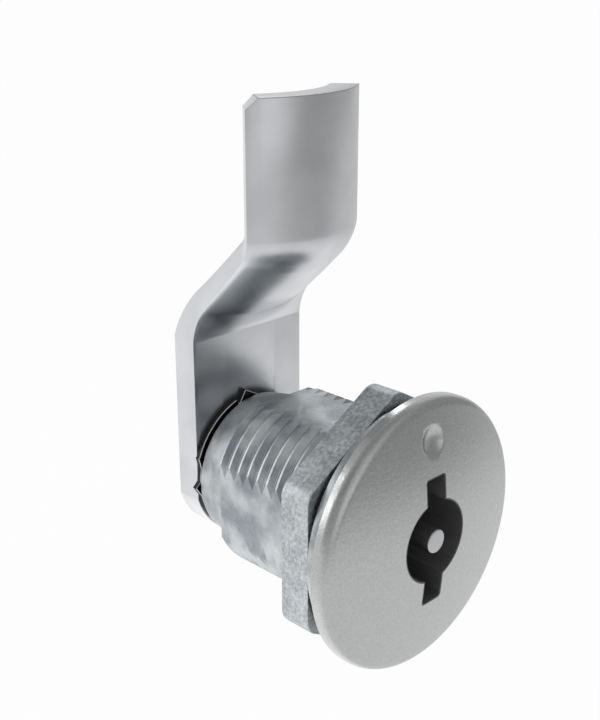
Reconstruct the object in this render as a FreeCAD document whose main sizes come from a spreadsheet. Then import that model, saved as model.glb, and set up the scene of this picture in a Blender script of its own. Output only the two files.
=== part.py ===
import FreeCAD, Part
import math
import os
import re
import Sketcher
from FreeCAD import Vector

# Quarter-turn cam latch for a 22 mm panel hole, in millimetres.
# The origin is on the lock's axis, on the plane where the flange meets the panel.
# The keyed face looks along -Y, the housing runs back along +Y and the cam stands along +Z.

SIZES = {
    # housing: flange, threaded barrel with flats on four sides, plain nose
    "flange_diameter": 28.0,
    "flange_thickness": 1.65,
    "flange_edge": 0.3,
    "thread_diameter": 22.0,
    "thread_length": 17.6,
    "thread_pitch": 1.5,
    "thread_depth": 0.5,
    "thread_crest": 0.25,
    "flats_width": 20.0,
    "nose_diameter": 20.0,
    "nose_length": 4.8,
    "nose_chamfer": 0.9,
    # hexagon nut behind the panel
    "nut_width": 27.0,
    "nut_corner_diameter": 30.5,
    "nut_thickness": 3.85,
    "nut_gap": 0.35,
    "nut_clearance": 0.05,
    # turning head that covers the flange
    "head_diameter": 31.0,
    "head_thickness": 3.72,
    "dome_radius": 66.0,
    "rim_radius": 1.35,
    "head_gap": 0.2,
    "face_wall": 1.4,
    "collar_wall": 0.8,
    "dot_offset": 11.3,
    "dot_diameter": 3.6,
    "dot_floor_diameter": 1.8,
    "dot_depth": 0.6,
    # double-bit key opening
    "key_diameter": 9.6,
    "wing_width": 3.2,
    "key_span": 15.0,
    "wing_corner": 0.45,
    "key_depth": 7.0,
    "lining_wall": 0.15,
    "lining_recess": 0.03,
    "insert_diameter": 15.8,
    "insert_floor": 1.2,
    "tongue_width": 3.0,
    "tongue_length": 12.0,
    "tongue_height": 1.2,
    "pin_diameter": 2.7,
    "pin_shank_diameter": 2.1,
    "pin_seat": 3.0,
    "pin_chamfer": 0.15,
    # spindle and its seal
    "journal_diameter": 12.8,
    "spindle_head": 2.5,
    "spindle_step": 0.2,
    "square_width": 8.0,
    "square_setback": 0.2,
    "seal_section": 1.4,
    "seal_groove_width": 2.0,
    "seal_groove_floor": 10.0,
    "seal_place": 11.0,
    "running_clearance": 0.05,
    "collar_clearance": 0.08,
    "press_clearance": 0.02,
    # stop disc behind the nose, and the slot that its lug runs in
    "stop_gap": 0.35,
    "stop_thickness": 0.64,
    "stop_diameter": 17.2,
    "stop_sector_diameter": 18.4,
    "stop_tab_diameter": 19.6,
    "stop_tooth_diameter": 18.6,
    "stop_overlap": 0.3,
    "lug_inner_diameter": 13.3,
    "lug_outer_diameter": 16.8,
    "lug_width_angle": 30.0,
    "lug_reach": 1.4,
    "lug_clearance": 0.15,
    "turn_angle": 90.0,
    "turn_play": 1.0,
    # cam: flat hub, cranked neck and arched blade
    "cam_width": 17.0,
    "hub_end_radius": 8.85,
    "cam_thickness": 3.25,
    "cam_top": 45.25,
    "cam_offset": 12.17,
    "neck_start": 17.0,
    "neck_angle": 43.5,
    "hub_bend_radius": 6.2,
    "blade_bend_radius": 3.9,
    "arch_radius": 13.6,
    "blade_corner": 1.2,
    "square_clearance": 0.05,
    # rear fastening
    "washer_diameter": 10.6,
    "washer_thickness": 1.3,
    "washer_split": 0.6,
    "screw_diameter": 6.0,
    "screw_reach": 8.0,
    "screw_head_diameter": 11.4,
    "screw_head_height": 2.6,
    "screw_head_chamfer": 0.8,
    "screw_tip_chamfer": 0.6,
    "socket_width": 4.0,
    "socket_depth": 1.6,
}

# places along the axis, worked out from the sizes
HEAD_BACK = "(-flange_thickness - head_gap)"
FACE = f"({HEAD_BACK} - head_thickness)"
POCKET_FLOOR = f"({FACE} + face_wall)"
KEY_FLOOR = f"({FACE} + key_depth)"
INSERT_BACK = f"({KEY_FLOOR} + insert_floor)"
COLLAR_END = f"({INSERT_BACK} + spindle_head)"
STEP_PLACE = f"({COLLAR_END} + spindle_step)"
NOSE_END = "(thread_length + nose_length)"
STOP_FRONT = f"({NOSE_END} + stop_gap)"
CAM_FRONT = f"({STOP_FRONT} + stop_thickness)"
CAM_BACK = f"({CAM_FRONT} + cam_thickness)"
WASHER_BACK = f"({CAM_BACK} + washer_thickness)"

# how far a cutting outline is drawn beyond the face it opens on
BEYOND = 0.1

# radii that fit one piece to the next
INSERT_RADIUS = "(insert_diameter / 2)"
COLLAR_INNER = f"({INSERT_RADIUS} + press_clearance)"
COLLAR_OUTER = f"({COLLAR_INNER} + collar_wall)"
COUNTERBORE = f"({COLLAR_OUTER} + collar_clearance)"
BORE = "(journal_diameter / 2 + running_clearance)"

# the head's rim follows an arc that meets the dome and the straight edge
DOME_CENTRE = f"({FACE} + dome_radius)"
RIM_ACROSS = "(head_diameter / 2 - rim_radius)"
RIM_DROP = f"sqrt((dome_radius - rim_radius)^2 - {RIM_ACROSS}^2)"
RIM_SCALE = "(dome_radius / (dome_radius - rim_radius))"


# document, sheet and expressions

doc = FreeCAD.newDocument("cam_latch")
sheet = doc.addObject("Spreadsheet::Sheet", "Sizes")
for row, (alias, size) in enumerate(SIZES.items(), start=1):
    sheet.set(f"A{row}", alias.replace("_", " "))
    sheet.set(f"B{row}", str(size))
    sheet.setAlias(f"B{row}", alias)
doc.recompute()


def tied(text):
    """The expression with every size name pointed at the sheet."""
    return re.sub(r"[a-z_]+", lambda word: f"Sizes.{word[0]}" if word[0] in SIZES else word[0], text)


def value(text):
    """The expression's number."""
    return float(sheet.evalExpression(tied(text)))


# sketches

def new_sketch(body, name, role, along="0"):
    """An empty sketch on one of the body's own planes, moved along world Y or along the normal."""
    plane = next(item for item in body.Origin.OriginFeatures if item.Role == role)
    made = body.newObject("Sketcher::SketchObject", name)
    made.AttachmentSupport = [(plane, "")]
    made.MapMode = "FlatFace"
    sign = "-" if role == "XZ_Plane" else ""
    made.setExpression("AttachmentOffset.Base.z", tied(f"{sign}({along})"))
    return made


def place(made, curve, end, across, up):
    """Hold one end of a curve at the expressions across and up."""
    for kind, text in (("DistanceX", across), ("DistanceY", up)):
        number = made.addConstraint(Sketcher.Constraint(kind, -1, 1, curve, end, value(text)))
        made.setExpression(f"Constraints[{number}]", tied(text))


def hold_radius(made, curve, text):
    number = made.addConstraint(Sketcher.Constraint("Radius", curve, value(text)))
    made.setExpression(f"Constraints[{number}]", tied(text))


def arc_between(start, end, radius, turn):
    """The short arc from start to end, turning left for +1 and right for -1."""
    chord = end - start
    middle = (start + end) * 0.5
    height = math.sqrt(max(radius ** 2 - chord.Length ** 2 / 4, 0))
    side = Vector(-chord.y, chord.x, 0).normalize()
    centre = middle + side * (height * turn)
    first, last = (start, end) if turn > 0 else (end, start)
    angles = [math.atan2(point.y - centre.y, point.x - centre.x) for point in (first, last)]
    return Part.ArcOfCircle(Part.Circle(centre, Vector(0, 0, 1), radius), angles[0], angles[1])


def outline(made, steps):
    """A closed outline. A step is (across, up) for a straight run to that point,
    or (across, up, radius, turn) for an arc that ends there."""
    points = [Vector(value(step[0]), value(step[1]), 0) for step in steps]
    first = made.GeometryCount
    ends = []
    for number, step in enumerate(steps):
        start, end = points[number - 1], points[number]
        if len(step) == 2:
            made.addGeometry(Part.LineSegment(start, end))
            ends.append((1, 2))
        else:
            made.addGeometry(arc_between(start, end, value(step[2]), step[3]))
            ends.append((1, 2) if step[3] > 0 else (2, 1))
    for number, step in enumerate(steps):
        before = (number - 1) % len(steps)
        joined = (first + before, ends[before][1], first + number, ends[number][0])
        made.addConstraint(Sketcher.Constraint("Coincident", *joined))
    for number, step in enumerate(steps):
        place(made, first + number, ends[number][1], step[0], step[1])
        if len(step) == 4:
            hold_radius(made, first + number, step[2])


def circle(made, radius, across="0", up="0"):
    spot = Vector(value(across), value(up), 0)
    number = made.addGeometry(Part.Circle(spot, Vector(0, 0, 1), value(radius)))
    place(made, number, 3, across, up)
    hold_radius(made, number, radius)


def box_outline(made, half_width, half_height):
    outline(made, [(f"-{half_width}", f"-{half_height}"), (half_width, f"-{half_height}"),
                   (half_width, half_height), (f"-{half_width}", half_height)])


def sector_outline(made, inner, outer, start, end):
    """A ring's piece between two angles in degrees, both radii of arc round the axis."""
    outline(made, [
        (f"{outer} * cos({start})", f"{outer} * sin({start})"),
        (f"{outer} * cos({end})", f"{outer} * sin({end})", outer, 1),
        (f"{inner} * cos({end})", f"{inner} * sin({end})"),
        (f"{inner} * cos({start})", f"{inner} * sin({start})", inner, -1),
    ])


def key_outline(made, radius, half_wing, tip, corner):
    """A circle with a straight-sided wing above and below, its tips rounded."""
    shoulder = f"sqrt({radius}^2 - {half_wing}^2)"
    inner_tip = f"({tip} - {corner})"
    inner_side = f"({half_wing} - {corner})"
    outline(made, [
        (half_wing, f"-{shoulder}"),
        (half_wing, shoulder, radius, 1),
        (half_wing, inner_tip),
        (inner_side, tip, corner, 1),
        (f"-{inner_side}", tip),
        (f"-{half_wing}", inner_tip, corner, 1),
        (f"-{half_wing}", shoulder),
        (f"-{half_wing}", f"-{shoulder}", radius, 1),
        (f"-{half_wing}", f"-{inner_tip}"),
        (f"-{inner_side}", f"-{tip}", corner, 1),
        (inner_side, f"-{tip}"),
        (half_wing, f"-{inner_tip}", corner, 1),
    ])


# features

def new_body(label):
    body = doc.addObject("PartDesign::Body", label)
    body.Label = label
    return body


def extrude(body, kind, name, made, length, toward_back=True):
    """A pad or pocket from the sketch, toward +Y or +Z of its plane unless turned round."""
    feature = body.newObject(f"PartDesign::{kind}", name)
    feature.Profile = made
    feature.setExpression("Length", tied(length))
    drawn_on_front = made.AttachmentSupport[0][0].Role == "XZ_Plane"
    forward = (kind == "Pad") == drawn_on_front
    feature.Reversed = forward if toward_back else not forward
    return feature


def turn(body, kind, name, made, axis="V_Axis"):
    """A revolution or groove once round the sketch's own axis."""
    feature = body.newObject(f"PartDesign::{kind}", name)
    feature.Profile = made
    feature.ReferenceAxis = (made, [axis])
    feature.Angle = 360.0
    return feature


# housing

def cut_thread(body):
    """The thread as even rings: one sharp groove at the barrel's end, repeated up to the nut."""
    made = new_sketch(body, "thread_groove", "XY_Plane")
    crest = "(thread_diameter / 2)"
    middle = "(thread_length - thread_pitch / 2)"
    # the groove's mouth is drawn a little beyond the crest, so that the cut is clean
    half_mouth = f"((thread_pitch - thread_crest) / 2 * (1 + {BEYOND} / thread_depth))"
    outline(made, [
        (f"{crest} - thread_depth", middle),
        (f"{crest} + {BEYOND}", f"{middle} - {half_mouth}"),
        (f"{crest} + {BEYOND}", f"{middle} + {half_mouth}"),
    ])
    groove = turn(body, "Groove", "groove", made)
    rings = body.newObject("PartDesign::LinearPattern", "thread")
    rings.Originals = [groove]
    rings.Direction = (made, ["V_Axis"])
    rings.Reversed = True
    count = round(value("(thread_length - nut_gap - nut_thickness) / thread_pitch"))
    rings.Occurrences = count
    rings.setExpression("Length", tied(f"thread_pitch * {count - 1}"))
    body.Tip = rings


def make_housing():
    body = new_body("housing")
    profile = new_sketch(body, "housing_profile", "XY_Plane")
    front = "-flange_thickness"
    outline(profile, [
        (COUNTERBORE, front),
        ("flange_diameter / 2 - flange_edge", front),
        ("flange_diameter / 2", f"{front} + flange_edge"),
        ("flange_diameter / 2", "0"),
        ("thread_diameter / 2", "0"),
        ("thread_diameter / 2", "thread_length"),
        ("nose_diameter / 2", "thread_length"),
        ("nose_diameter / 2", f"{NOSE_END} - nose_chamfer"),
        ("nose_diameter / 2 - nose_chamfer", NOSE_END),
        (BORE, NOSE_END),
        (BORE, STEP_PLACE),
        (COUNTERBORE, STEP_PLACE),
    ])
    turn(body, "Revolution", "turned_housing", profile)
    cut_thread(body)
    flats = new_sketch(body, "flats", "XZ_Plane")
    box_outline(flats, "flats_width / 2", "flats_width / 2")
    circle(flats, "thread_diameter / 2 + flats_width / 2")
    extrude(body, "Pocket", "four_flats", flats, "thread_length")
    slot = new_sketch(body, "stop_slot", "XZ_Plane", NOSE_END)
    half = "(lug_width_angle / 2 + turn_play)"
    inner = "(journal_diameter / 2)"
    outer = "(lug_outer_diameter / 2 + collar_clearance)"
    sector_outline(slot, inner, outer, f"(-90 - {half})", f"(-90 + turn_angle + {half})")
    extrude(body, "Pocket", "stop_slot_cut", slot, "lug_reach", toward_back=False)
    return body


# nut

def make_nut():
    body = new_body("hex_nut")
    made = new_sketch(body, "hexagon", "XZ_Plane", "nut_gap")
    corner = "(nut_width / sqrt(3))"
    outline(made, [(f"{corner} * sin({60 * side})", f"{corner} * cos({60 * side})")
                   for side in range(6)])
    circle(made, "thread_diameter / 2 + nut_clearance")
    extrude(body, "Pad", "nut_blank", made, "nut_thickness")
    ring = new_sketch(body, "nut_corners", "XZ_Plane", "nut_gap")
    circle(ring, "nut_corner_diameter / 2")
    circle(ring, f"{corner} + 1")
    extrude(body, "Pocket", "turned_corners", ring, "nut_thickness")
    return body


# head

# the dome is drawn as even slopes from the axis to the rim, and the rim's rounding as two
DOME_SLOPES = 3
RIM_ANGLES = (45, 0)


def dome_point(step):
    """A corner between two of the dome's slopes, on the dome's arc."""
    across = f"({RIM_ACROSS} * {RIM_SCALE} * {step} / {DOME_SLOPES})"
    return across, f"{DOME_CENTRE} - sqrt(dome_radius^2 - {across}^2)"


def rim_point(angle):
    """A corner of the head's rim, on the rim's arc."""
    return (f"{RIM_ACROSS} + rim_radius * cos({angle})",
            f"{DOME_CENTRE} - {RIM_DROP} - rim_radius * sin({angle})")


def make_head():
    body = new_body("head_disc")
    profile = new_sketch(body, "head_profile", "XY_Plane")
    front = [("0", FACE)]
    front += [dome_point(step) for step in range(1, DOME_SLOPES + 1)]
    front += [rim_point(angle) for angle in RIM_ANGLES]
    outline(profile, front + [
        ("head_diameter / 2", HEAD_BACK),
        (COLLAR_OUTER, HEAD_BACK),
        (COLLAR_OUTER, COLLAR_END),
        (COLLAR_INNER, COLLAR_END),
        (COLLAR_INNER, POCKET_FLOOR),
        ("0", POCKET_FLOOR),
    ])
    turn(body, "Revolution", "turned_head", profile)
    opening = new_sketch(body, "key_opening", "XZ_Plane", FACE)
    key_outline(opening, "(key_diameter / 2)", "(wing_width / 2)", "(key_span / 2)", "wing_corner")
    extrude(body, "Pocket", "key_cut", opening, "face_wall + 1")
    sink_dot(body)
    return body


def sink_dot(body):
    """The marking dot above the key opening, a shallow dish with sloping sides.
    Its axis runs to the dome's centre, so it sits square to the dome."""
    made = new_sketch(body, "dot_profile", "YZ_Plane")
    made.setExpression("AttachmentOffset.Base.x", tied(DOME_CENTRE))
    made.AttachmentOffset = FreeCAD.Placement(Vector(0, 0, 0), FreeCAD.Rotation(Vector(0, 0, -1), 1))
    made.setExpression("AttachmentOffset.Rotation.Angle", tied("asin(dot_offset / dome_radius)"))
    slope = "((dot_diameter - dot_floor_diameter) / 2 / dot_depth)"
    outline(made, [
        (f"-dome_radius - {BEYOND}", "0"),
        (f"-dome_radius - {BEYOND}", f"dot_diameter / 2 + {BEYOND} * {slope}"),
        ("dot_depth - dome_radius", "dot_floor_diameter / 2"),
        ("dot_depth - dome_radius", "0"),
    ])
    turn(body, "Groove", "dot", made, "H_Axis")


# key insert, with its lining of the opening, and the pin that centres the key

def make_insert():
    body = new_body("key_insert")
    barrel = new_sketch(body, "insert_barrel", "XZ_Plane", POCKET_FLOOR)
    circle(barrel, INSERT_RADIUS)
    extrude(body, "Pad", "barrel", barrel, f"{INSERT_BACK} - {POCKET_FLOOR}")
    lining = new_sketch(body, "insert_lining", "XZ_Plane", POCKET_FLOOR)
    key_outline(lining, "(key_diameter / 2 - press_clearance)", "(wing_width / 2 - press_clearance)",
                "(key_span / 2 - press_clearance)", "wing_corner")
    extrude(body, "Pad", "lining", lining, "face_wall", toward_back=False)
    # the lining's end is turned to one slope that stays under the dome
    end = new_sketch(body, "lining_slope", "XY_Plane")
    reach = "(key_span / 2 + 1)"
    sag = f"(dome_radius - sqrt(dome_radius^2 - {reach}^2))"
    outline(end, [
        ("0", f"{FACE} - 1"),
        (reach, f"{FACE} - 1"),
        (reach, f"{FACE} + {sag} + lining_recess"),
        ("0", f"{FACE} + lining_recess"),
    ])
    turn(body, "Groove", "lining_end", end)
    cavity = new_sketch(body, "key_cavity", "XZ_Plane", FACE)
    key_outline(cavity, "(key_diameter / 2 - lining_wall)", "(wing_width / 2 - lining_wall)",
                "(key_span / 2 - lining_wall)", "(wing_corner - lining_wall)")
    extrude(body, "Pocket", "cavity", cavity, "key_depth")
    tongue = new_sketch(body, "drive_tongue", "XZ_Plane", INSERT_BACK)
    box_outline(tongue, "(tongue_length / 2)", "(tongue_width / 2)")
    extrude(body, "Pad", "tongue", tongue, "tongue_height")
    hole = new_sketch(body, "pin_hole", "XZ_Plane", KEY_FLOOR)
    circle(hole, "pin_shank_diameter / 2 + press_clearance")
    extrude(body, "Pocket", "pin_way", hole, "insert_floor + tongue_height")
    return body


def make_pin():
    """The key's centre pin, with a thinner shank through the insert's floor into the spindle."""
    body = new_body("key_pin")
    profile = new_sketch(body, "pin_profile", "XY_Plane")
    end = f"({INSERT_BACK} + tongue_height + pin_seat)"
    outline(profile, [
        ("0", FACE),
        ("pin_diameter / 2 - pin_chamfer", FACE),
        ("pin_diameter / 2", f"{FACE} + pin_chamfer"),
        ("pin_diameter / 2", KEY_FLOOR),
        ("pin_shank_diameter / 2", KEY_FLOOR),
        ("pin_shank_diameter / 2", end),
        ("0", end),
    ])
    turn(body, "Revolution", "turned_pin", profile)
    return body


# spindle, seal and stop disc

def make_spindle():
    body = new_body("spindle")
    profile = new_sketch(body, "spindle_profile", "XY_Plane")
    journal = "(journal_diameter / 2)"
    groove = "(seal_groove_floor / 2)"
    outline(profile, [
        ("0", INSERT_BACK),
        (INSERT_RADIUS, INSERT_BACK),
        (INSERT_RADIUS, COLLAR_END),
        (journal, COLLAR_END),
        (journal, "seal_place - seal_groove_width / 2"),
        (groove, "seal_place - seal_groove_width / 2"),
        (groove, "seal_place + seal_groove_width / 2"),
        (journal, "seal_place + seal_groove_width / 2"),
        (journal, STOP_FRONT),
        ("0", STOP_FRONT),
    ])
    turn(body, "Revolution", "turned_spindle", profile)
    square = new_sketch(body, "square_end", "XZ_Plane", STOP_FRONT)
    box_outline(square, "(square_width / 2)", "(square_width / 2)")
    extrude(body, "Pad", "square", square, f"{CAM_BACK} - square_setback - {STOP_FRONT}")
    slot = new_sketch(body, "tongue_slot", "XZ_Plane", INSERT_BACK)
    box_outline(slot, "(tongue_length / 2 + press_clearance)", "(tongue_width / 2 + press_clearance)")
    extrude(body, "Pocket", "tongue_way", slot, "tongue_height + press_clearance")
    hole = new_sketch(body, "pin_seat", "XZ_Plane", INSERT_BACK)
    circle(hole, "pin_shank_diameter / 2 + press_clearance")
    extrude(body, "Pocket", "pin_seat_hole", hole, "tongue_height + pin_seat + press_clearance")
    tapped = new_sketch(body, "tapped_hole", "XZ_Plane", f"{CAM_BACK} - square_setback")
    circle(tapped, "screw_diameter / 2 + press_clearance")
    extrude(body, "Pocket", "tapping", tapped, "screw_reach + 1", toward_back=False)
    return body


def make_seal():
    """A ring seal of square section."""
    body = new_body("spindle_seal")
    made = new_sketch(body, "seal_profile", "XY_Plane")
    inner = "(seal_groove_floor / 2 + press_clearance)"
    outline(made, [
        (inner, "seal_place - seal_section / 2"),
        (f"{inner} + seal_section", "seal_place - seal_section / 2"),
        (f"{inner} + seal_section", "seal_place + seal_section / 2"),
        (inner, "seal_place + seal_section / 2"),
    ])
    turn(body, "Revolution", "ring", made)
    return body


# the disc's toothed rim, as angles in degrees from +X toward +Z: each side has a wide sector
# and three pointed teeth, given by their tip's diameter, start, tip and end
SECTOR_START, SECTOR_END = 107, 158
TEETH = (
    ("top_tooth", "(stop_tab_diameter / 2)", 77, 97, 106),
    ("end_tooth", "(stop_tooth_diameter / 2)", 147, 160, 172),
    ("side_tooth", "(stop_tooth_diameter / 2)", 177, 183, 198),
)


def make_stop_disc():
    body = new_body("stop_disc")
    plate = new_sketch(body, "stop_plate", "XZ_Plane", STOP_FRONT)
    circle(plate, "stop_diameter / 2")
    extrude(body, "Pad", "plate", plate, "stop_thickness")
    # the rim's pieces start a little inside the plate's edge
    base = "(stop_diameter / 2 - stop_overlap)"
    for side, turned in (("upper", 0), ("lower", 180)):
        made = new_sketch(body, f"{side}_side", "XZ_Plane", STOP_FRONT)
        sector_outline(made, base, "(stop_sector_diameter / 2)",
                       turned + SECTOR_START, turned + SECTOR_END)
        extrude(body, "Pad", f"{side}_side_pad", made, "stop_thickness")
        for name, tip, start, peak, end in TEETH:
            made = new_sketch(body, f"{side}_{name}", "XZ_Plane", STOP_FRONT)
            outline(made, [(f"{radius} * cos({turned + angle})", f"{radius} * sin({turned + angle})")
                           for radius, angle in ((base, start), (tip, peak), (base, end))])
            extrude(body, "Pad", f"{side}_{name}_pad", made, "stop_thickness")
    lug = new_sketch(body, "stop_lug", "XZ_Plane", STOP_FRONT)
    half = "(lug_width_angle / 2)"
    sector_outline(lug, "(lug_inner_diameter / 2)", "(lug_outer_diameter / 2)",
                   f"(-90 - {half})", f"(-90 + {half})")
    extrude(body, "Pad", "lug", lug, "stop_gap + lug_reach - lug_clearance", toward_back=False)
    square = new_sketch(body, "stop_square", "XZ_Plane", STOP_FRONT)
    half_square = "(square_width / 2 + square_clearance)"
    box_outline(square, half_square, half_square)
    extrude(body, "Pocket", "square_way", square, "stop_thickness")
    return body


# cam

BLADE_FRONT = f"({CAM_FRONT} - cam_offset)"
ARCH_CENTRE = f"({BLADE_FRONT} + arch_radius)"
HALF_WIDTH = "(cam_width / 2)"
ARCH_RISE = f"(arch_radius - sqrt(arch_radius^2 - {HALF_WIDTH}^2))"
SIDE_FRONT = f"({BLADE_FRONT} + {ARCH_RISE})"
HUB_CENTRE = f"({CAM_FRONT} - hub_bend_radius)"
BLADE_CENTRE = f"({SIDE_FRONT} + blade_bend_radius)"
# height gained along the neck's slope, from one bend to the other, at the side edge
SLOPE_DROP = f"({CAM_FRONT} - {SIDE_FRONT} - (hub_bend_radius + blade_bend_radius) * (1 - cos(neck_angle)))"
NECK_END = (f"(neck_start + (hub_bend_radius + blade_bend_radius) * sin(neck_angle)"
            f" + {SLOPE_DROP} / tan(neck_angle))")


# the cam's stations along each bend and slope, and how early the arch grows along the neck
HUB_BEND_STEPS = 6
SLOPE_STEPS = 4
BLADE_BEND_STEPS = 4
ARCH_GROWTH = 2.8


def neck_section(body, name, along, up, tilt, share):
    """One cross-section of the neck, square to its path, at the side edge's front corner.
    The share runs from a flat plate at 0 to the blade's full arch at 1."""
    plane = next(item for item in body.Origin.OriginFeatures if item.Role == "XY_Plane")
    made = body.newObject("Sketcher::SketchObject", name)
    made.AttachmentSupport = [(plane, "")]
    made.MapMode = "FlatFace"
    made.setExpression("AttachmentOffset.Base.y", tied(along))
    made.setExpression("AttachmentOffset.Base.z", tied(up))
    made.AttachmentOffset = FreeCAD.Placement(Vector(0, 0, 0), FreeCAD.Rotation(Vector(1, 0, 0), 1))
    made.setExpression("AttachmentOffset.Rotation.Angle", tied(tilt))
    if share == 0:
        outline(made, [(f"-{HALF_WIDTH}", "0"), (HALF_WIDTH, "0"),
                       (HALF_WIDTH, "cam_thickness"), (f"-{HALF_WIDTH}", "cam_thickness")])
        return made
    rise = f"({share} * {ARCH_RISE})"
    front = f"(({HALF_WIDTH}^2 + {rise}^2) / (2 * {rise}))"
    back = f"({front} - cam_thickness)"
    back_side = f"({HALF_WIDTH} * {back} / {front})"
    depth = f"(cam_thickness * ({front} - {rise}) / {front})"
    outline(made, [
        (f"-{HALF_WIDTH}", "0"),
        (HALF_WIDTH, "0", front, 1),
        (back_side, depth),
        (f"-{back_side}", depth, back, -1),
    ])
    return made


def arch_share(stretch):
    """How much of the blade's arch is reached, from 0 at the hub, past the stretches 1 and 2,
    to 1 at the end of the third, the blade's bend. Most of it comes early."""
    return round(1 - (1 - stretch / 3) ** ARCH_GROWTH, 4)


def neck_path():
    """Stations along the cam: place along the axis, height, tilt and share of the arch.
    The path runs round the hub's bend, along the slope, round the blade's bend and up the blade."""
    slope_run = f"({SLOPE_DROP} / tan(neck_angle))"
    stations = []
    for step in range(HUB_BEND_STEPS + 1):
        tilt = f"(neck_angle * {step} / {HUB_BEND_STEPS})"
        stations.append((f"{HUB_CENTRE} + hub_bend_radius * cos({tilt})",
                         f"neck_start + hub_bend_radius * sin({tilt})", tilt,
                         arch_share(step / HUB_BEND_STEPS)))
    along, up = stations[-1][:2]
    for step in range(1, SLOPE_STEPS):
        part = f"{step} / {SLOPE_STEPS}"
        stations.append((f"{along} - {SLOPE_DROP} * {part}", f"{up} + {slope_run} * {part}",
                         "neck_angle", arch_share(1 + step / SLOPE_STEPS)))
    for step in range(BLADE_BEND_STEPS + 1):
        tilt = f"(neck_angle * (1 - {step} / {BLADE_BEND_STEPS}))"
        stations.append((f"{BLADE_CENTRE} - blade_bend_radius * cos({tilt})",
                         f"{NECK_END} - blade_bend_radius * sin({tilt})", tilt,
                         arch_share(2 + step / BLADE_BEND_STEPS)))
    stations.append((SIDE_FRONT, "cam_top", "0", 1))
    return stations


def make_cam():
    body = new_body("cam")
    hub = new_sketch(body, "hub_outline", "XZ_Plane", CAM_FRONT)
    corner = f"(-sqrt(hub_end_radius^2 - {HALF_WIDTH}^2))"
    outline(hub, [
        (HALF_WIDTH, "neck_start"),
        (f"-{HALF_WIDTH}", "neck_start"),
        (f"-{HALF_WIDTH}", corner),
        (HALF_WIDTH, corner, "hub_end_radius", 1),
    ])
    extrude(body, "Pad", "hub", hub, "cam_thickness")

    stations = neck_path()
    made = [neck_section(body, f"neck_{number}", *station) for number, station in enumerate(stations)]
    neck = body.newObject("PartDesign::AdditiveLoft", "neck")
    neck.Profile = made[0]
    neck.Sections = made[1:]
    neck.Ruled = True

    corner = new_sketch(body, "corner", "XZ_Plane", BLADE_FRONT)
    outline(corner, [
        (f"-{HALF_WIDTH}", "cam_top - blade_corner"),
        (f"-{HALF_WIDTH} + blade_corner", "cam_top"),
        (f"-{HALF_WIDTH} - 1", "cam_top + 1"),
    ])
    extrude(body, "Pocket", "corner_cut", corner, "cam_offset + cam_thickness")
    square = new_sketch(body, "cam_square", "XZ_Plane", CAM_FRONT)
    half_square = "(square_width / 2 + square_clearance)"
    box_outline(square, half_square, half_square)
    extrude(body, "Pocket", "square_hole", square, "cam_thickness")
    return body


# rear washer and screw

def make_washer():
    body = new_body("lock_washer")
    made = new_sketch(body, "washer_ring", "XZ_Plane", CAM_BACK)
    circle(made, "washer_diameter / 2")
    circle(made, "screw_diameter / 2 + running_clearance")
    extrude(body, "Pad", "washer", made, "washer_thickness")
    split = new_sketch(body, "washer_gap", "XZ_Plane", CAM_BACK)
    outline(split, [("0", "-washer_split / 2"), ("washer_diameter", "-washer_split / 2"),
                    ("washer_diameter", "washer_split / 2"), ("0", "washer_split / 2")])
    extrude(body, "Pocket", "washer_cut", split, "washer_thickness")
    return body


def make_screw():
    body = new_body("cam_screw")
    profile = new_sketch(body, "screw_profile", "XY_Plane")
    end = f"({CAM_BACK} - square_setback - screw_reach)"
    top = f"({WASHER_BACK} + screw_head_height)"
    outline(profile, [
        ("0", end),
        ("screw_diameter / 2 - screw_tip_chamfer", end),
        ("screw_diameter / 2", f"{end} + screw_tip_chamfer"),
        ("screw_diameter / 2", WASHER_BACK),
        ("screw_head_diameter / 2", WASHER_BACK),
        ("screw_head_diameter / 2", f"{top} - screw_head_chamfer"),
        ("screw_head_diameter / 2 - screw_head_chamfer", top),
        ("0", top),
    ])
    turn(body, "Revolution", "turned_screw", profile)
    socket = new_sketch(body, "socket", "XZ_Plane", top)
    corner = "(socket_width / sqrt(3))"
    outline(socket, [(f"{corner} * sin({60 * side})", f"{corner} * cos({60 * side})")
                     for side in range(6)])
    extrude(body, "Pocket", "hex_socket", socket, "socket_depth", toward_back=False)
    return body


MAKERS = (make_housing, make_nut, make_head, make_insert, make_pin, make_spindle, make_seal,
          make_stop_disc, make_cam, make_washer, make_screw)


def main():
    bodies = [maker() for maker in MAKERS]
    doc.recompute()
    for item in doc.Objects:
        if "Invalid" in item.State or "Error" in item.State:
            raise RuntimeError(f"{item.Label} failed to compute")
    for body in bodies:
        if body.Shape.isNull() or not body.Shape.isValid() or len(body.Shape.Solids) != 1:
            raise RuntimeError(f"{body.Label} has no single valid solid")
    os.makedirs("parts", exist_ok=True)
    for body in bodies:
        body.Shape.exportStep(f"parts/{body.Label}.step")
        print(body.Label, round(body.Shape.Volume, 2), "mm3")


main()
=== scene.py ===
from math import asin, atan2, cos, degrees, pi, radians, sin, sqrt

import bmesh
import bpy
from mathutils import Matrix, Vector


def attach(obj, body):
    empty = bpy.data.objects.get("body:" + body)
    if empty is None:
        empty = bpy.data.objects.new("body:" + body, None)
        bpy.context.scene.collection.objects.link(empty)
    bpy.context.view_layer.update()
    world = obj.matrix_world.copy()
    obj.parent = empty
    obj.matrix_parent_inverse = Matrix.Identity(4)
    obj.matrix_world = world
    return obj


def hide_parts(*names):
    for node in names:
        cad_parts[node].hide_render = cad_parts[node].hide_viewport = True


# Quarter-turn cam latch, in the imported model's own frame, which is in metres.
# Sizes here are in millimetres, and MM turns them into metres.
# The keyed face looks along -Y, the barrel runs back along +Y and the cam stands along +Z.

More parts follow.
